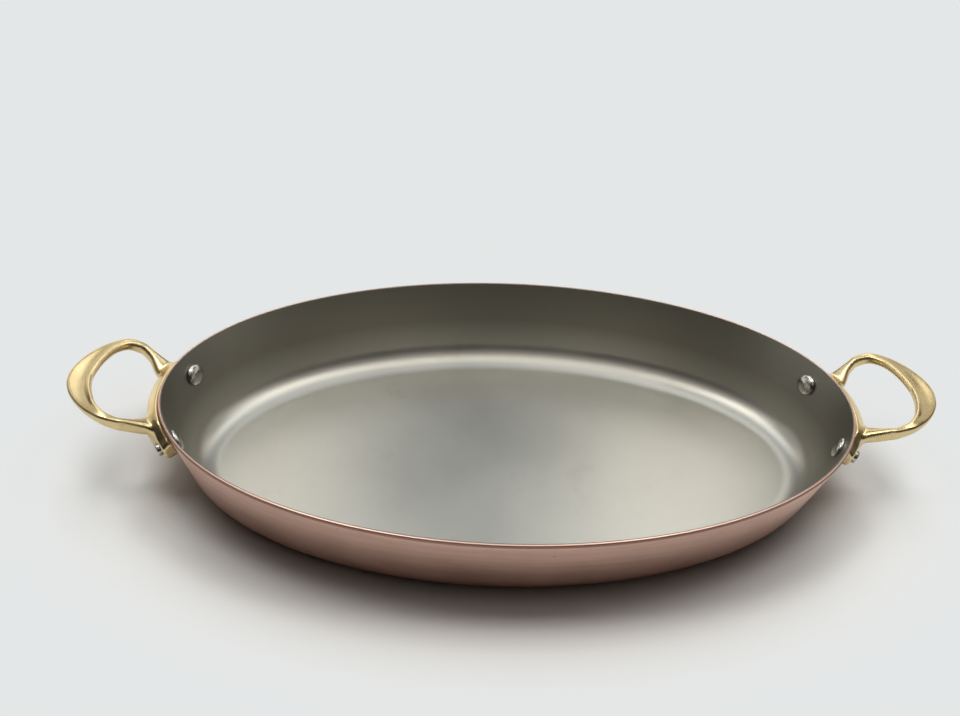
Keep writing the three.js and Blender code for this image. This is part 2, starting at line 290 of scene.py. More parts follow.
# Panels by name: place, facing, width and height in millimetres, radiance, colour
WARM = (1.0, 0.97, 0.91)
NEUTRAL = (0.97, 1.0, 1.0)
COOL = (0.8, 1.0, 1.25)
PANELS = {
    "back_left": ((-200, 400, 360), (0, -1, 0), (200, 380), 1.45, WARM),
    "back_middle": ((18, 400, 405), (0, -1, 0), (232, 290), 0.2, COOL),
    "back_right": ((242, 400, 350), (0, -1, 0), (216, 400), 1.55, WARM),
    "left_high": ((-300, -10, 405), (1, 0, 0), (200, 290), 1.0, WARM),
    "right_high": ((330, -10, 405), (-1, 0, 0), (200, 290), 1.3, WARM),
    "left_low": ((-300, 240, 145), (1, 0, 0), (320, 230), 0.7, WARM),
    "right_low": ((330, 240, 145), (-1, 0, 0), (320, 230), 0.55, WARM),
    "front_high": ((15, -345, 440), (0, 0.8, -0.6), (500, 170), 0.35, WARM),
    "roof_front": ((15, -210, 550), (0, 0, -1), (210, 90), 2.2, WARM),
    "roof_left": ((-195, -65, 550), (0, 0, -1), (210, 130), 7.0, WARM),
    "roof_middle": ((15, -75, 550), (0, 0, -1), (210, 110), 0.4, WARM),
    "roof_right": ((225, -65, 550), (0, 0, -1), (210, 130), 5.5, WARM),
    "roof_back_left": ((-195, 200, 550), (0, 0, -1), (210, 400), 2.6, NEUTRAL),
    "roof_back_middle": ((15, 300, 550), (0, 0, -1), (210, 200), 0.45, COOL),
    "roof_back_right": ((225, 200, 550), (0, 0, -1), (210, 400), 2.6, NEUTRAL),
}


def smoothstep(value, low, high):
    share = min(max((value - low) / (high - low), 0.0), 1.0)
    return share * share * (3 - 2 * share)


def mix(low, high, share):
    return low + (high - low) * share


# Node trees

def node(tree, kind, values=None, **settings):
    """A node with its settings, its input values and the sockets that feed it."""
    made = tree.nodes.new(kind)
    for name, setting in settings.items():
        setattr(made, name, setting)
    for key, value in (values or {}).items():
        socket = made.inputs[key]
        if isinstance(value, bpy.types.NodeSocket):
            tree.links.new(value, socket)
        else:
            socket.default_value = value
    return made


def shape_tree(name, sizes):
    """A geometry tree with a base shape, named sizes and a finish as its inputs."""
    tree = bpy.data.node_groups.new(name, "GeometryNodeTree")
    tree.interface.new_socket("Shape", in_out="INPUT", socket_type="NodeSocketGeometry")
    for size, kind in sizes.items():
        tree.interface.new_socket(size, in_out="INPUT", socket_type=kind)
    tree.interface.new_socket("Finish", in_out="INPUT", socket_type="NodeSocketMaterial")
    tree.interface.new_socket("Shape", in_out="OUTPUT", socket_type="NodeSocketGeometry")
    return tree, tree.nodes.new("NodeGroupInput").outputs


def close_tree(tree, shape, finish):
    real = node(tree, "GeometryNodeRealizeInstances", {"Geometry": shape}).outputs[0]
    done = node(tree, "GeometryNodeSetMaterial", {"Geometry": real, "Material": finish}).outputs[0]
    tree.links.new(done, tree.nodes.new("NodeGroupOutput").inputs[0])


def oval_sheet_tree():
    """Sweeps a section round the rim's oval and closes it over the middle."""
    tree, given = shape_tree("oval_sheet", {
        "Rim length": "NodeSocketFloat",
        "Rim width": "NodeSocketFloat",
        "Steps round": "NodeSocketInt",
    })
    section = node(tree, "GeometryNodeMeshToCurve", {"Mesh": given["Shape"]}).outputs[0]
    circle = node(tree, "GeometryNodeCurvePrimitiveCircle",
                  {"Resolution": given["Steps round"], "Radius": 0.5}).outputs[0]
    scale = node(tree, "ShaderNodeCombineXYZ",
                 {"X": given["Rim length"], "Y": given["Rim width"], "Z": 1.0}).outputs[0]
    oval = node(tree, "GeometryNodeTransform", {"Geometry": circle, "Scale": scale}).outputs[0]
    rim = node(tree, "GeometryNodeSetCurveNormal", {"Curve": oval}, mode="Z_UP").outputs[0]
    band = node(tree, "GeometryNodeCurveToMesh", {"Curve": rim, "Profile Curve": section}).outputs[0]
    faces_beside = node(tree, "GeometryNodeInputMeshEdgeNeighbors").outputs[0]
    border = node(tree, "FunctionNodeCompare", {2: faces_beside, 3: 1},
                  data_type="INT", operation="EQUAL").outputs[0]
    floor = node(tree, "GeometryNodeExtrudeMesh",
                 {"Mesh": band, "Selection": border, "Offset Scale": 0.0}, mode="EDGES")
    place = node(tree, "GeometryNodeInputPosition").outputs[0]
    middle = node(tree, "ShaderNodeVectorMath", {0: place, 1: (0, 0, 1)}, operation="MULTIPLY")
    closed = node(tree, "GeometryNodeSetPosition",
                  {"Geometry": floor.outputs[0], "Selection": floor.outputs[1],
                   "Position": middle.outputs[0]}).outputs[0]
    welded = node(tree, "GeometryNodeMergeByDistance",
                  {"Geometry": closed, "Distance": TINY}).outputs[0]
    close_tree(tree, welded, given["Finish"])
    return tree


def rivet_tree():
    """Turns a half section about its axis, bends the head to the wall and puts it in its place."""
    tree, given = shape_tree("set_rivet", {
        "Sides": "NodeSocketInt",
        "Head seat": "NodeSocketFloat",
        "Wall radius": "NodeSocketFloat",
        "Place": "NodeSocketVector",
        "Turn": "NodeSocketVector",
    })
    place = node(tree, "GeometryNodeInputPosition").outputs[0]
    parts = node(tree, "ShaderNodeSeparateXYZ", {0: place}).outputs
    radius = node(tree, "GeometryNodeCaptureAttribute", {"Geometry": given["Shape"]}, domain="POINT")
    radius.capture_items.new("FLOAT", "Radius")
    tree.links.new(parts["X"], radius.inputs[1])
    axis_point = node(tree, "ShaderNodeCombineXYZ", {"X": 0.0, "Y": parts["Y"], "Z": 0.0}).outputs[0]
    axis = node(tree, "GeometryNodeSetPosition",
                {"Geometry": radius.outputs[0], "Position": axis_point}).outputs[0]
    curve = node(tree, "GeometryNodeMeshToCurve", {"Mesh": axis}).outputs[0]
    ring = node(tree, "GeometryNodeCurvePrimitiveCircle",
                {"Resolution": given["Sides"], "Radius": 1.0}).outputs[0]
    turned = node(tree, "GeometryNodeCurveToMesh",
                  {"Curve": curve, "Profile Curve": ring, "Scale": radius.outputs[1],
                   "Fill Caps": True}).outputs[0]
    behind = node(tree, "FunctionNodeCompare",
                  {0: parts["Y"], 1: given["Head seat"]},
                  data_type="FLOAT", operation="LESS_THAN").outputs[0]
    square = node(tree, "ShaderNodeMath", {0: parts["X"], 1: parts["X"]}, operation="MULTIPLY")
    bend = node(tree, "ShaderNodeMath", {0: square.outputs[0], 1: given["Wall radius"]},
                operation="DIVIDE").outputs[0]
    drop = node(tree, "ShaderNodeMath", {0: bend, 1: -0.5}, operation="MULTIPLY").outputs[0]
    offset = node(tree, "ShaderNodeCombineXYZ", {"X": 0.0, "Y": drop, "Z": 0.0}).outputs[0]
    bent = node(tree, "GeometryNodeSetPosition",
                {"Geometry": turned, "Selection": behind, "Offset": offset}).outputs[0]
    placed = node(tree, "GeometryNodeTransform",
                  {"Geometry": bent, "Translation": given["Place"],
                   "Rotation": given["Turn"]}).outputs[0]
    close_tree(tree, placed, given["Finish"])
    return tree


def grown(name, tree, outline, values, finish):
    """The mesh that a geometry tree makes of an outline, as a plain piece."""
    base = bpy.data.meshes.new(name + "_outline")
    base.from_pydata(outline, [(i, i + 1) for i in range(len(outline) - 1)], [])
    holder = bpy.data.objects.new(name + "_outline", base)
    bpy.context.scene.collection.objects.link(holder)
    modifier = holder.modifiers.new("shape", "NODES")
    modifier.node_group = tree
    sockets = {s.name: s.identifier for s in tree.interface.items_tree if s.in_out == "INPUT"}
    for key, value in {**values, "Finish": finish}.items():
        modifier[sockets[key]] = value
    bpy.context.view_layer.update()
    depsgraph = bpy.context.evaluated_depsgraph_get()
    mesh = bpy.data.meshes.new_from_object(holder.evaluated_get(depsgraph), depsgraph=depsgraph)
    holder.modifiers.remove(modifier)
    bpy.data.objects.remove(holder)
    bpy.data.meshes.remove(base)
    return piece(name, mesh, finish)


def piece(name, mesh, finish):
    """A named object at the origin with one finish, its faces outwards and smooth."""
    work = bmesh.new()
    work.from_mesh(mesh)
    bmesh.ops.recalc_face_normals(work, faces=work.faces)
    work.to_mesh(mesh)
    work.free()
    mesh.name = name
    mesh.materials.clear()
    mesh.materials.append(finish)
    mesh.shade_smooth()
    mesh.set_sharp_from_angle(angle=SHARP_ANGLE)
    made = bpy.data.objects.new(name, mesh)
    bpy.context.scene.collection.objects.link(made)
    return made


# Pan sheets

def corner_and_wall(depth, top):
    """Half section of one face of the pan, from the floor's edge up to a height on the wall."""
    centre = (RIM_HEIGHT - CORNER_RADIUS) * math.tan(WALL_FLARE)
    centre += CORNER_RADIUS / math.cos(WALL_FLARE)
    radius = CORNER_RADIUS - depth
    section = []
    for i in range(CORNER_STEPS + 1):
        turn = mix(math.pi / 2, WALL_FLARE, i / CORNER_STEPS)
        inset = centre - radius * math.cos(turn)
        section.append((inset, CORNER_RADIUS - radius * math.sin(turn)))
    foot = section[-1]
    head = ((RIM_HEIGHT - top) * math.tan(WALL_FLARE) + depth / math.cos(WALL_FLARE), top)
    for i in range(1, WALL_STEPS + 1):
        share = i / WALL_STEPS
        section.append((mix(foot[0], head[0], share), mix(foot[1], head[1], share)))
    return section


def rounding(inset, z, radius, start, end):
    """Arc round a centre in the section, from one direction to another in degrees."""
    turns = [math.radians(mix(start, end, i / LIP_STEPS)) for i in range(LIP_STEPS + 1)]
    return [(inset - radius * math.cos(t), z + radius * math.sin(t)) for t in turns]


def sheet_outline(outer, lip, inner):
    """Section points as the outline that the sweep takes: out from the rim, then downwards."""
    return [(-inset, -z, 0) for inset, z in outer + lip + inner[::-1]]


def shell_outline():
    slope = math.degrees(WALL_FLARE)
    lip_z = RIM_HEIGHT - LIP_ROUNDING
    lip_inset = (LIP_ROUNDING * math.tan(WALL_FLARE)) + LIP_ROUNDING / math.cos(WALL_FLARE)
    outer = corner_and_wall(0, lip_z - LIP_ROUNDING * math.sin(WALL_FLARE))
    inner = corner_and_wall(COPPER, RIM_HEIGHT - EDGE_ROUNDING)
    edge = COPPER / math.cos(WALL_FLARE) - EDGE_ROUNDING
    lip = rounding(lip_inset, lip_z, LIP_ROUNDING, -slope, 90)[1:]
    lip += rounding(edge, RIM_HEIGHT - EDGE_ROUNDING, EDGE_ROUNDING, *SHELL_EDGE)
    return sheet_outline(outer, lip, inner)


def lining_outline():
    near = COPPER + BOND_GAP
    outer = corner_and_wall(near, RIM_HEIGHT - EDGE_ROUNDING)
    inner = corner_and_wall(near + LINING, RIM_HEIGHT - EDGE_ROUNDING)
    middle = (near + LINING / 2) / math.cos(WALL_FLARE)
    lip = rounding(middle, RIM_HEIGHT - EDGE_ROUNDING, EDGE_ROUNDING, *LINING_EDGE)
    return sheet_outline(outer, lip, inner)


# Places beside the wall

def oval_point(angle, inset, z):
    """Point of the rim oval moved inwards along its own normal."""
    a, b = RIM_LENGTH / 2, RIM_WIDTH / 2
    normal = Vector((math.cos(angle) / a, math.sin(angle) / b)).normalized()
    x = a * math.cos(angle) - inset * normal.x
    y = b * math.sin(angle) - inset * normal.y
    return Vector((x, y, z))


def beside_wall(angle, down, out):
    """Point at an angle round the oval, down the wall's slope from the rim and out from its face."""
    inset = down * math.sin(WALL_FLARE) - out * math.cos(WALL_FLARE)
    z = RIM_HEIGHT - down * math.cos(WALL_FLARE) - out * math.sin(WALL_FLARE)
    return oval_point(angle, inset, z)


def angle_at(across, down, out):
    """Angle round the oval at which a point beside the wall lies that far from the long axis."""
    angle = 0.0
    for _ in range(SOLVING_ROUNDS):
        y = beside_wall(angle, down, out).y
        slope = (beside_wall(angle + SMALL_TURN, down, out).y - y) / SMALL_TURN
        angle += (across - y) / slope
    return angle


def rivet_frame(across):
    """Origin on the wall's outer face at a rivet, Y out of the pan, X round the oval."""
    angle = angle_at(across, RIVET_DEPTH, 0)
    origin = beside_wall(angle, RIVET_DEPTH, 0)
    out = (beside_wall(angle, RIVET_DEPTH, MM) - origin).normalized()
    up = (beside_wall(angle, RIVET_DEPTH - MM, 0) - origin).normalized()
    around = out.cross(up).normalized()
    turn = Matrix((around, out, up)).transposed().to_4x4()
    return Matrix.Translation(origin) @ turn


# Rivets

def rivet_outline():
    """Half section of a rivet: radius, then distance out of the wall's outer face."""
    seat = -(COPPER + BOND_GAP + LINING + HEAD_GAP)
    lug = LUG_THICKNESS + TAIL_GAP
    outline = []
    for i in range(DOME_STEPS + 1):
        turn = math.radians(90 * i / DOME_STEPS)
        dome = (HEAD_HEIGHT - HEAD_RIM) * math.cos(turn) + HEAD_RIM
        outline.append((max(HEAD_RADIUS * math.sin(turn), HEAD_TIP), seat - dome, 0))
    for inwards, back in HEAD_EDGE:
        outline.append((HEAD_RADIUS - inwards, seat - back, 0))
    outline.append((SHANK_RADIUS, seat + TINY, 0))
    outline.append((SHANK_RADIUS, lug - TINY, 0))
    outline.append((TAIL_RADIUS - TAIL_CHAMFER, lug, 0))
    shoulder = lug + TAIL_HEIGHT - TAIL_CROWN - TAIL_SHOULDER
    for i in range(SHOULDER_STEPS + 1):
        turn = math.radians(90 * i / SHOULDER_STEPS)
        radius = TAIL_RADIUS - TAIL_SHOULDER * (1 - math.cos(turn))
        outline.append((radius, shoulder + TAIL_SHOULDER * math.sin(turn), 0))
    for share in CROWN_SHARES:
        below = TAIL_CROWN * (1 - (1 - share) ** 0.5)
        outline.append((TAIL_RADIUS * share, lug + TAIL_HEIGHT - below, 0))
    return outline


def make_rivet(name, tree, across, half_turn, finish):
    turn = Matrix.Rotation(math.pi if half_turn else 0, 4, "Z")
    where = turn @ rivet_frame(across)
    values = {
        "Sides": RIVET_SIDES,
        "Head seat": -(COPPER + BOND_GAP + LINING) - HEAD_GAP / 2,
        "Wall radius": (RIM_WIDTH / 2) ** 2 / (RIM_LENGTH / 2) - WALL_INSIDE,
        "Place": where.to_translation(),
        "Turn": where.to_euler(),
    }
    return grown(name, tree, rivet_outline(), values, finish)


# Handles

def spline(points, share):
    """Point of a uniform curve through rows of values, at a share of its length in steps."""
    last = len(points) - 1
    place = min(share * last, last - 1e-9)
    start = int(place)
    t = place - start
    p1, p2 = points[start], points[start + 1]
    p0 = points[start - 1] if start > 0 else 2 * p1 - p2
    p3 = points[start + 2] if start + 2 <= last else 2 * p2 - p1
    m1, m2 = (p2 - p0) / 2, (p3 - p1) / 2
    return ((2 * t**3 - 3 * t**2 + 1) * p1 + (t**3 - 2 * t**2 + t) * m1
            + (3 * t**2 - 2 * t**3) * p2 + (t**3 - t**2) * m2)


def refined(loop):
    """A closed outline with points added on a smooth curve through its own points."""
    count = len(loop)
    fine = []
    for i in range(count):
        span = np.array([loop[(i + k - 1) % count] for k in range(4)])
        for k in range(SECTION_REFINEMENT):
            fine.append(spline(span, (1 + k / SECTION_REFINEMENT) / 3))
    return fine


def arm_section():
    """Superellipse with as many points over and under its edges as the grip section has."""
    below = len(GRIP_SECTION) - INNER_EDGE
    section = []
    for index in range(len(GRIP_SECTION)):
        over = index <= INNER_EDGE
        share = index / INNER_EDGE if over else 1 + (index - INNER_EDGE) / below
        rounds = [math.cos(share * math.pi), math.sin(share * math.pi)]
        squareness = ARM_OUTER_SQUARENESS if rounds[0] > 0 else ARM_INNER_SQUARENESS
        section.append([math.copysign(abs(v) ** (2 / squareness), v) for v in rounds])
    return section


def loft(rings):
    """Closed skin over a row of rings, as vertices and faces."""
    count = len(rings[0])
    points = [p for ring in rings for p in ring]
    faces = [tuple(range(count))[::-1]]
    for r in range(len(rings) - 1):
        low, high = r * count, (r + 1) * count
        for i in range(count):
            j = (i + 1) % count
            faces.append((low + i, low + j, high + j, high + i))
    faces.append(tuple(range((len(rings) - 1) * count, len(rings) * count)))
    return points, faces


def loop_rings():
    """Sections of the grip and both arms along the handle's path."""
    mirrored = [(s[0], -s[1], *s[2:]) for s in LOOP_STATIONS[1:]]
    stations = np.array(list(LOOP_STATIONS[::-1]) + mirrored, dtype=float)
    arm, grip = np.array(refined(arm_section())), np.array(refined(GRIP_SECTION))
    rings = []
    for i in range(LOOP_STEPS + 1):
        share = i / LOOP_STEPS
        row = spline(stations, share)
        before = spline(stations, max(share - SMALL_TURN, 0))
        after = spline(stations, min(share + SMALL_TURN, 1))
        along = Vector((after - before)[:3]).normalized()
        outward = Vector((0, 0, 1)).cross(along).normalized()
        outward.rotate(Matrix.Rotation(math.radians(row[5]), 3, along))
        upward = along.cross(outward).normalized()
        section = mix(arm, grip, min(max(row[6], 0.0), 1.0))
        centre = Vector((RIM_LENGTH / 2 + row[0] * MM, row[1] * MM, RIM_HEIGHT + row[2] * MM))
        rings.append([centre + outward * (x * row[3] * MM) + upward * (y * row[4] * MM)
                      for x, y in section])
    return rings


def bent_edge(start, bend, end):
    """Points of a quadratic curve after its start."""
    points = []
    for i in range(1, EDGE_STEPS + 1):
        t = i / EDGE_STEPS
        corners = zip(start, bend, end)
        points.append(tuple(mix(mix(s, b, t), mix(b, e, t), t) for s, b, e in corners))
    return points


def straight_edge(start, end):
    shares = [i / EDGE_STEPS for i in range(1, EDGE_STEPS + 1)]
    return [tuple(mix(s, e, share) for s, e in zip(start, end)) for share in shares]


def flange_ring(angle, top, bottom, out):
    """Section of the flange: down the slope from the rim, then out from the wall."""
    back, shoulder = FLANGE_GAP, top + TOP_SLOPE
    corners = (
        ("line", (top + BACK_EASE[0], back)),
        ("bend", (top + BACK_EASE_BEND[0], back + BACK_EASE_BEND[1]), (top, back + BACK_EASE[1])),
        ("line", (shoulder - TOP_LEAN, out - EDGE_ROUND)),
        ("bend", (shoulder, out), (shoulder + EDGE_ROUND, out)),
        ("line", (bottom - EDGE_ROUND, out)),
        ("bend", (bottom, out), (bottom, out - EDGE_ROUND)),
        ("line", (bottom, back + BACK_CHAMFER)),
    )
    outline = [(bottom - BACK_CHAMFER, back)]
    for kind, *places in corners:
        step = bent_edge if kind == "bend" else straight_edge
        outline += step(outline[-1], *places)
    return [beside_wall(angle, down, away) for down, away in outline]


def flange_rings():
    """Sections of the flange from lug to lug round the pan's end."""
    limit = angle_at(FLANGE_END, RIVET_DEPTH, 0)
    rings = []
    for i in range(FLANGE_STEPS + 1):
        crowd = math.sin((i / FLANGE_STEPS * 2 - 1) * FLANGE_CROWDING) / math.sin(FLANGE_CROWDING)
        angle = limit * crowd
        across = abs(beside_wall(angle, RIVET_DEPTH, 0).y)
        lower = smoothstep(across, *LUG_WIDENS)
        upper = smoothstep(across, *LUG_DROPS)
        into_end = min(max(1 - (FLANGE_END - across) / END_ROUNDING, 0), 1)
        draw = END_DRAW * (1 - math.sqrt(1 - into_end ** 2))
        top = mix(FLANGE_TOP, LUG_TOP, upper) + draw
        bottom = mix(FLANGE_BOTTOM, LUG_BOTTOM, lower) - draw
        web = WEB_SWELL * smoothstep(across, *WEB_RISES) * (1 - smoothstep(across, *WEB_ENDS))
        out = mix(FLANGE_THICKNESS, LUG_THICKNESS, lower) + web - END_THINNING * draw
        rings.append(flange_ring(angle, top, bottom, out))
    return rings


def surface_of(rings):
    points, faces = loft(rings)
    return BVHTree.FromPolygons(points, faces)


def holder_of(name, points, faces):
    """A scratch object for the modifiers that finish a casting."""
    mesh = bpy.data.meshes.new(name)
    mesh.from_pydata(points, [], faces)
    work = bmesh.new()
    work.from_mesh(mesh)
    bmesh.ops.recalc_face_normals(work, faces=work.faces)
    work.to_mesh(mesh)
    work.free()
    holder = bpy.data.objects.new(name, mesh)
    bpy.context.scene.collection.objects.link(holder)
    return holder


def finished_mesh(holder):
    """The mesh of a holder with its modifiers applied."""
    bpy.context.view_layer.update()
    depsgraph = bpy.context.evaluated_depsgraph_get()
    mesh = bpy.data.meshes.new_from_object(holder.evaluated_get(depsgraph), depsgraph=depsgraph)
    holder.modifiers.clear()
    holder.data = mesh
    return mesh


def skinned(holder):
    """One even skin round everything in the holder."""
    skin = holder.modifiers.new("skin", "REMESH")
    skin.mode = "VOXEL"
    skin.voxel_size = CAST_GRAIN
    return finished_mesh(holder)


def settle(mesh, loop, flange):
    """Draws the skin back onto the lofts that it was taken from."""
    for vertex in mesh.vertices:
        places = [surface.find_nearest(vertex.co) for surface in (loop, flange)]
        nearest = min(places, key=lambda place: place[3])
        if nearest[3] < CAST_GRAIN:
            vertex.co = nearest[0]


def soften(holder, name, weights, passes):
    """Smooths the vertices that have a weight."""
    group = holder.vertex_groups.new(name=name)
    for index, weight in weights.items():
        group.add([index], weight, "REPLACE")
    smooth = holder.modifiers.new(name, "SMOOTH")
    smooth.factor, smooth.iterations, smooth.vertex_group = SMOOTHING, passes, name


def blend_casting(holder, loop, flange, seats):
    """Skins the overlapping lofts as one body and rounds the corners where they meet."""
    skinned(holder)
    for where in seats:
        cut_cylinder(holder, where, SEAT_RADIUS, LUG_THICKNESS, LUG_THICKNESS + SEAT_CUT_RISES)
    mesh = skinned(holder)
    settle(mesh, loop, flange)
    inward = [where.inverted() for where in seats]
    fillet, seat_edge = {}, {}
    for vertex in mesh.vertices:
        far = max(loop.find_nearest(vertex.co)[3], flange.find_nearest(vertex.co)[3])
        if far < FILLET_REACH:
            fillet[vertex.index] = 1 - far / FILLET_REACH
        for to_seat in inward:
            local = to_seat @ vertex.co
            off_edge = abs(math.hypot(local.x, local.z) - SEAT_RADIUS - SEAT_EDGE_OUT)
            if off_edge < SEAT_EASE and local.y > LUG_THICKNESS - SEAT_FLOOR_DEPTH:
                seat_edge[vertex.index] = 1 - off_edge / SEAT_EASE
    soften(holder, "fillet", fillet, FILLET_PASSES)
    soften(holder, "seat_edge", seat_edge, SEAT_PASSES)
    polish = holder.modifiers.new("polish", "SMOOTH")
    polish.factor, polish.iterations = SMOOTHING, POLISH_PASSES
    finished_mesh(holder)


def cut_cylinder(casting, where, radius, start, end):
    """Cuts a round hole or seat along a rivet's axis out of the casting."""
    work = bmesh.new()
    bmesh.ops.create_cone(work, cap_ends=True, segments=RIVET_SIDES, radius1=radius,
                          radius2=radius, depth=end - start)
    along_y = Matrix.Rotation(-math.pi / 2, 4, "X")
    centre = Matrix.Translation((0, (start + end) / 2, 0))
    bmesh.ops.transform(work, matrix=where @ centre @ along_y, verts=work.verts)
    mesh = bpy.data.meshes.new("cutter")
    work.to_mesh(mesh)
    work.free()
    cutter = bpy.data.objects.new("cutter", mesh)
    bpy.context.scene.collection.objects.link(cutter)
    cut = casting.modifiers.new("cut", "BOOLEAN")
    cut.operation, cut.solver, cut.object = "DIFFERENCE", "EXACT", cutter
    finished_mesh(casting)
    bpy.data.objects.remove(cutter)
    bpy.data.meshes.remove(mesh)


def cast_handle():
    """Mesh of the right-hand casting: loop and flange in one, seated and drilled for its rivets."""
    loop, flange = loop_rings(), flange_rings()
    points, faces = loft(loop)
    more, others = loft(flange)
    shifted = [tuple(i + len(points) for i in face) for face in others]
    casting = holder_of("casting", points + more, faces + shifted)
    seats = [rivet_frame(across) for across in (RIVET_ACROSS, -RIVET_ACROSS)]
    blend_casting(casting, surface_of(loop), surface_of(flange), seats)
    for where in seats:
        cut_cylinder(casting, where, HOLE_RADIUS, *HOLE_CUT)
    mesh = casting.data
    bpy.data.objects.remove(casting)
    return mesh


# Finishes

def finish_tree(name, colour, roughness):
    """A metal with its node tree, its shader and the object's coordinates."""
    made = bpy.data.materials.new(name)
    made.use_nodes = True
    made.diffuse_color = (*colour, 1)
    tree = made.node_tree
    shader = tree.nodes["Principled BSDF"]
    shader.inputs["Metallic"].default_value = 1.0
    shader.inputs["Base Color"].default_value = (*colour, 1)
    shader.inputs["Roughness"].default_value = roughness
    place = tree.nodes.new("ShaderNodeTexCoord").outputs["Object"]
    return made, tree, shader, place


def stretched(tree, place, scale):
    return node(tree, "ShaderNodeMapping", {"Vector": place, "Scale": scale}).outputs[0]


def grain(tree, place, name):
    """Noise of a named grain, which stays round 0.5."""
    waves, detail, strength = GRAINS[name]
    values = {"Vector": stretched(tree, place, waves), "Scale": 1.0, "Detail": detail,
              "Roughness": strength}
    return node(tree, "ShaderNodeTexNoise", values).outputs[0]


def cells(tree, place, count):
    """Distance to the nearest of scattered points, so many to the metre."""
    values = {"Vector": place, "Scale": count, "Randomness": 1.0}
    return node(tree, "ShaderNodeTexVoronoi", values).outputs["Distance"]


def ranged(tree, value, low, high, to_low, to_high):
    values = {0: value, 1: low, 2: high, 3: to_low, 4: to_high}
    return node(tree, "ShaderNodeMapRange", values).outputs[0]


def spread(tree, value, to_low, to_high):
    """A grain drawn out over the whole of a range."""
    return ranged(tree, value, *GRAIN_SPREAD, to_low, to_high)


def summed(tree, first, second, weight):
    values = {0: second, 1: weight, 2: first}
    return node(tree, "ShaderNodeMath", values, operation="MULTIPLY_ADD").outputs[0]


def blended(tree, share, first, second):
    """Colour between two, each a socket or three numbers, by a share from 0 to 1."""
    ends = [c if isinstance(c, bpy.types.NodeSocket) else (*c, 1) for c in (first, second)]
    values = {0: share, 6: ends[0], 7: ends[1]}
    return node(tree, "ShaderNodeMix", values, data_type="RGBA").outputs[2]


def height_of(tree, place):
    return node(tree, "ShaderNodeSeparateXYZ", {0: place}).outputs["Z"]


def lay_finish(tree, shader, colour, rough, height, relief):
    """Joins a metal's colour, roughness and fine relief to its shader."""
    tree.links.new(colour, shader.inputs["Base Color"])
    tree.links.new(rough, shader.inputs["Roughness"])
    depth, strength = relief
    values = {"Height": height, "Distance": depth, "Strength": strength}
    tree.links.new(node(tree, "ShaderNodeBump", values).outputs[0], shader.inputs["Normal"])


def satin_copper():
    """Copper brushed round the wall, with handling marks, specks, painted shade at the foot and a
    painted dark reflection under the lip.
    """
    made, tree, shader, place = finish_tree("satin_copper", COPPER_PLAIN, roughness=0.36)
    height = height_of(tree, place)
    bands = grain(tree, place, "copper_bands")
    streaks = grain(tree, place, "copper_streaks")
    hairlines = grain(tree, place, "copper_hairlines")
    clouds = grain(tree, place, "copper_clouds")
    smudges = grain(tree, place, "copper_smudges")
    brushed = summed(tree, spread(tree, bands, 0.0, BAND_SHARE), streaks, STREAK_SHARE)
    metal = blended(tree, brushed, COPPER_DEEP, COPPER_BRIGHT)
    handling = ranged(tree, smudges, *SMUDGE_SHOWS, 0.0, SMUDGE_SHARE)
    handled = blended(tree, handling, metal, COPPER_HANDLED)
    # Painted shade: the copper colour darkens towards the foot of the wall
    wandering = summed(tree, height, clouds, PAINTED_SHADE_WANDERS)
    foot = ranged(tree, wandering, *PAINTED_SHADE_FADES, PAINTED_SHADE_SHARE, 0.0)
    with_painted_shade = blended(tree, foot, handled, COPPER_PAINTED_SHADE)
    speck = ranged(tree, cells(tree, place, SPECKS), *SPECK_EDGE, SPECK_SHARE, 0.0)
    specked = blended(tree, speck, with_painted_shade, COPPER_SPECK)
    # Painted dark reflection: a thin dark line just under the lip
    under_lip = ranged(tree, height, *DARK_REFLECTION_STARTS, 0.0, DARK_REFLECTION_SHARE)
    over_lip = ranged(tree, height, *DARK_REFLECTION_ENDS, 1.0, 0.0)
    dark_reflection_line = node(tree, "ShaderNodeMath", {0: under_lip, 1: over_lip},
                   operation="MULTIPLY").outputs[0]
    colour = blended(tree, dark_reflection_line, specked, COPPER_DARK_REFLECTION)
    rough = summed(tree, spread(tree, clouds, *COPPER_ROUGHNESS), streaks, STREAKS_ROUGHEN)
    lines = summed(tree, streaks, hairlines, HAIRLINE_WEIGHT)
    lay_finish(tree, shader, colour, rough, lines, COPPER_RELIEF)
    return made


def matt_steel():
    """Lining with a fine brushed grain, soft rubbed patches and painted shade darkening the wall."""
    made, tree, shader, place = finish_tree("matt_steel", STEEL_PLAIN, roughness=0.38)
    brushing = grain(tree, place, "steel_brushing")
    speckle = grain(tree, place, "steel_speckle")
    clouds = grain(tree, place, "steel_clouds")
    patches = grain(tree, place, "steel_patches")
    metal = blended(tree, spread(tree, clouds, 0.0, 1.0), STEEL_DEEP, STEEL_BRIGHT)
    rubbing = ranged(tree, patches, *RUBBED_SHOWS, 0.0, RUBBED_SHARE)
    rubbed = blended(tree, rubbing, metal, STEEL_RUBBED)
    # Painted shade: the steel colour darkens up the wall, standing in for the wall's dark reflection
    wall = ranged(tree, height_of(tree, place), *WALL_SHADE_HEIGHTS, 0.0, 1.0)
    colour = blended(tree, wall, rubbed, STEEL_PAINTED_WALL_SHADE)
    rough = summed(tree, spread(tree, clouds, *STEEL_ROUGHNESS), brushing, BRUSHING_ROUGHENS)
    lines = summed(tree, brushing, speckle, SPECKLE_WEIGHT)
    lay_finish(tree, shader, colour, rough, lines, STEEL_RELIEF)
    return made


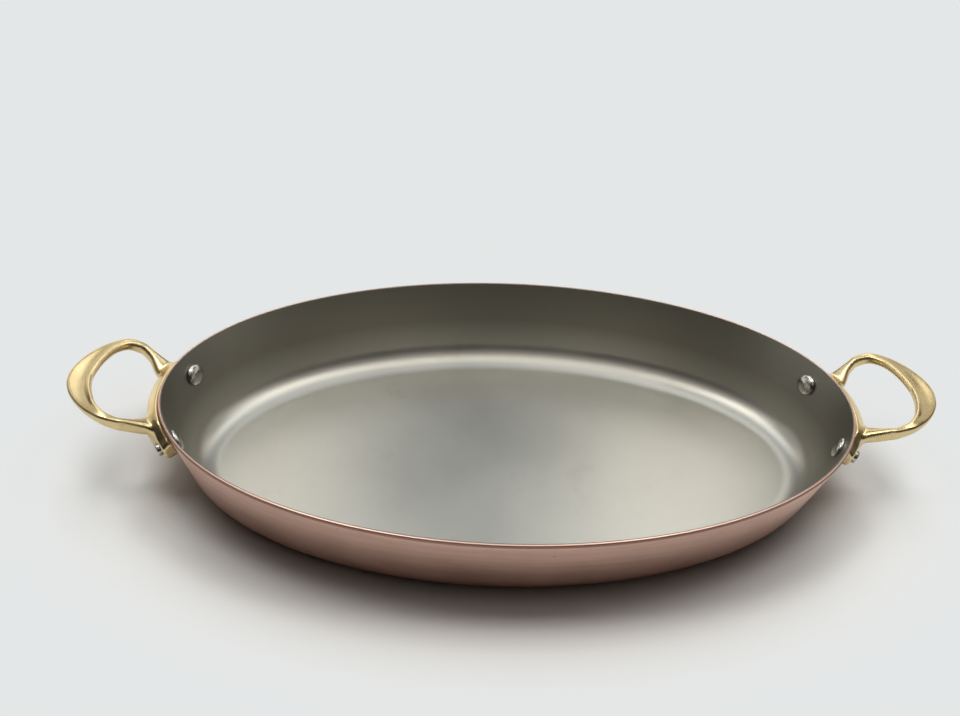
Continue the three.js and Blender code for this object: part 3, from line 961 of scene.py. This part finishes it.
def polished_brass():
    """Cast brass polished by hand: fine scratches, casting pits and slightly uneven colour."""
    made, tree, shader, place = finish_tree("polished_brass", BRASS_PLAIN, roughness=0.2)
    scratches = grain(tree, place, "brass_scratches")
    swirls = grain(tree, place, "brass_swirls")
    clouds = grain(tree, place, "brass_clouds")
    waves = grain(tree, place, "brass_waves")
    pit = ranged(tree, cells(tree, place, PITS), *PIT_EDGE, -1.0, 0.0)
    colour = blended(tree, spread(tree, clouds, 0.0, 1.0), BRASS_DEEP, BRASS_BRIGHT)
    rough = summed(tree, spread(tree, clouds, *BRASS_ROUGHNESS), scratches, SCRATCHES_ROUGHEN)
    lines = summed(tree, summed(tree, scratches, swirls, 1.0), waves, 1.0)
    pitted = summed(tree, lines, pit, PIT_WEIGHT)
    lay_finish(tree, shader, colour, rough, pitted, BRASS_RELIEF)
    return made


def bright_steel():
    """Rivet steel, polished on the dome with light tool marks."""
    made, tree, shader, place = finish_tree("bright_steel", RIVET_PLAIN, roughness=0.2)
    marks = grain(tree, place, "rivet_marks")
    clouds = grain(tree, place, "rivet_clouds")
    colour = blended(tree, clouds, RIVET_DEEP, RIVET_BRIGHT)
    rough = summed(tree, spread(tree, clouds, *RIVET_ROUGHNESS), marks, MARKS_ROUGHEN)
    lay_finish(tree, shader, colour, rough, marks, RIVET_RELIEF)
    return made


# Pieces on the frame

def dress(made, node_name):
    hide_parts(node_name)
    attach(made, "root")


def build_pan():
    copper, steel = satin_copper(), matt_steel()
    brass, bright = polished_brass(), bright_steel()
    sheet, rivet = oval_sheet_tree(), rivet_tree()
    oval = {"Rim length": RIM_LENGTH, "Rim width": RIM_WIDTH, "Steps round": OVAL_STEPS}
    dress(grown("pan_shell", sheet, shell_outline(), oval, copper), "copper_shell")
    dress(grown("pan_lining", sheet, lining_outline(), oval, steel), "steel_lining")
    cast = cast_handle()
    other = cast.copy()
    other.transform(Matrix.Rotation(math.pi, 4, "Z"))
    dress(piece("handle_right", cast, brass), "right_handle")
    dress(piece("handle_left", other, brass), "left_handle")
    for side, half_turn in (("right", False), ("left", True)):
        for end, sign in (("far", 1), ("near", -1)):
            across = RIVET_ACROSS * (-sign if half_turn else sign)
            made = make_rivet(f"rivet_{side}_{end}", rivet, across, half_turn, bright)
            dress(made, f"{side}_{end}_rivet")


# Studio

def lamp(name, place, facing, size, radiance, colour):
    """A soft panel of light with its middle at a place, seen by everything but the camera."""
    light = bpy.data.lights.new(name, "AREA")
    light.shape, light.size, light.size_y = "RECTANGLE", size[0], size[1]
    light.energy = radiance * math.pi * size[0] * size[1]
    light.color = colour
    made = bpy.data.objects.new(name, light)
    made.location = place
    made.rotation_mode = "QUATERNION"
    made.rotation_quaternion = Vector(facing).to_track_quat("-Z", "Y")
    made.visible_camera = False
    bpy.context.scene.collection.objects.link(made)
    return made


def seen_directly(tree):
    """1 for what the camera sees straight, in metal or through glass, and 0 for light on things."""
    rays = tree.nodes.new("ShaderNodeLightPath").outputs
    metal = node(tree, "ShaderNodeMath", {0: rays["Is Camera Ray"], 1: rays["Is Glossy Ray"]},
                 operation="MAXIMUM").outputs[0]
    return node(tree, "ShaderNodeMath", {0: metal, 1: rays["Is Transmission Ray"]},
                operation="MAXIMUM").outputs[0]


def flat_sheet(name, corners, finish):
    """A four-cornered stage sheet."""
    mesh = bpy.data.meshes.new(name)
    mesh.from_pydata(corners, [], [(0, 1, 2, 3)])
    mesh.materials.append(finish)
    made = bpy.data.objects.new(name, mesh)
    bpy.context.scene.collection.objects.link(made)
    return made


def pale_paper():
    """Floor paper that keeps the pan's shadow near it, darkened further by a painted shadow close
    round the foot, and runs out to an even pale tone.
    """
    paper = bpy.data.materials.new("pale_paper")
    paper.use_nodes = True
    tree = paper.node_tree
    seen = seen_directly(tree)
    shader = tree.nodes["Principled BSDF"]
    shader.inputs["Roughness"].default_value = PAPER_ROUGHNESS
    shader.inputs["Specular IOR Level"].default_value = PAPER_GLOSS
    place = tree.nodes.new("ShaderNodeTexCoord").outputs["Object"]
    depth = node(tree, "ShaderNodeSeparateXYZ", {0: place}).outputs["Y"]
    behind = ranged(tree, depth, *PAPER_TURNS, 0.0, 1.0)
    even_paper = blended(tree, behind, PAPER_IN_FRONT, PAPER_BEHIND)
    oval = stretched(tree, place, (RIM_WIDTH / RIM_LENGTH, 1, 1))
    away = node(tree, "ShaderNodeVectorMath", {0: oval}, operation="LENGTH").outputs["Value"]
    # Painted shadow: the paper seen by the camera and by metal darkens close round the pan's foot
    painted_shadow = ranged(tree, away, *PAINTED_SHADOW_SPAN, PAINTED_SHADOW_TONE, 1.0)
    shaded = node(tree, "ShaderNodeVectorMath", {0: even_paper, 3: painted_shadow},
                  operation="SCALE").outputs[0]
    colour = blended(tree, seen, PAPER_LIT, shaded)
    tree.links.new(colour, shader.inputs["Base Color"])
    share = node(tree, "ShaderNodeMapRange", {0: away, 1: SHADOW_REACH[0], 2: SHADOW_REACH[1]},
                 interpolation_type="SMOOTHSTEP").outputs[0]
    both = node(tree, "ShaderNodeMath", {0: share, 1: seen}, operation="MULTIPLY").outputs[0]
    even = node(tree, "ShaderNodeEmission", {"Color": (*BACKGROUND, 1), "Strength": 1.0}).outputs[0]
    mixed = node(tree, "ShaderNodeMixShader", {0: both, 1: shader.outputs[0], 2: even}).outputs[0]
    tree.links.new(mixed, tree.nodes["Material Output"].inputs["Surface"])
    return paper


def build_floor():
    reach = FLOOR_REACH
    flat_sheet("studio_floor", [(-reach, -reach, 0), (reach, -reach, 0), (reach, reach, 0),
                                (-reach, reach, 0)], pale_paper())


def build_flag():
    """Black cloth round the camera, which the walls of the pan mirror as their dark side."""
    black = bpy.data.materials.new("black_cloth")
    black.use_nodes = True
    shader = black.node_tree.nodes["Principled BSDF"]
    shader.inputs["Base Color"].default_value = (*FLAG_BLACK, 1)
    shader.inputs["Specular IOR Level"].default_value = 0.0
    half, near, top = FLAG_HALF_WIDTH, -FLAG_DISTANCE, FLAG_HEIGHT
    made = flat_sheet("front_flag", [(-half, near, 0), (half, near, 0), (half, near, top),
                                     (-half, near, top)], black)
    made.visible_camera = False


def build_world():
    """The pale room: the background for the camera and for metal, dimmer as light on things."""
    world = bpy.data.worlds.new("studio")
    bpy.context.scene.world = world
    world.use_nodes = True
    tree = world.node_tree
    direction = tree.nodes.new("ShaderNodeTexCoord").outputs["Generated"]
    height = node(tree, "ShaderNodeSeparateXYZ", {0: direction}).outputs["Z"]
    rise = node(tree, "ShaderNodeMapRange", {0: height, 1: ROOM_FADES[0], 2: ROOM_FADES[1]},
                interpolation_type="SMOOTHSTEP").outputs[0]
    straight = tree.nodes.new("ShaderNodeLightPath").outputs["Is Camera Ray"]
    mirrored = node(tree, "ShaderNodeMath", {0: rise, 1: straight}, operation="SUBTRACT",
                    use_clamp=True).outputs[0]
    colour = blended(tree, mirrored, BACKGROUND, ROOM_ABOVE)
    background = tree.nodes["Background"]
    tree.links.new(colour, background.inputs["Color"])
    share = ranged(tree, seen_directly(tree), 0.0, 1.0, ROOM_LIGHT, 1.0)
    tree.links.new(share, background.inputs["Strength"])


def build_lamps():
    """A tent of soft panels close round the pan, open to the front."""
    for name, (place, facing, size, radiance, colour) in PANELS.items():
        lamp(name, [v * MM for v in place], facing, [v * MM for v in size], radiance, colour)


def build_camera():
    """The photograph's viewpoint."""
    yaw, pitch, roll = CAMERA_YAW, CAMERA_PITCH, CAMERA_ROLL
    level = Vector((math.cos(yaw), -math.sin(yaw), 0))
    forward = Vector((math.sin(yaw) * math.cos(pitch),
                      math.cos(yaw) * math.cos(pitch),
                      -math.sin(pitch)))
    down = forward.cross(level)
    right = math.cos(roll) * level + math.sin(roll) * down
    up = math.sin(roll) * level - math.cos(roll) * down
    camera = bpy.data.cameras.new("camera")
    camera.sensor_width = CAMERA_SENSOR
    camera.lens = CAMERA_LENS
    made = bpy.data.objects.new("camera", camera)
    made.rotation_mode = "QUATERNION"
    made.rotation_quaternion = Matrix((right, up, -forward)).transposed().to_quaternion()
    made.location = Vector(CAMERA_TARGET) - forward * CAMERA_DISTANCE
    bpy.context.scene.collection.objects.link(made)
    bpy.context.scene.camera = made


def build_stage():
    build_floor()
    build_flag()
    build_world()
    build_lamps()
    build_camera()
    bpy.context.scene.view_settings.view_transform = "Standard"


build_stage()
build_pan()
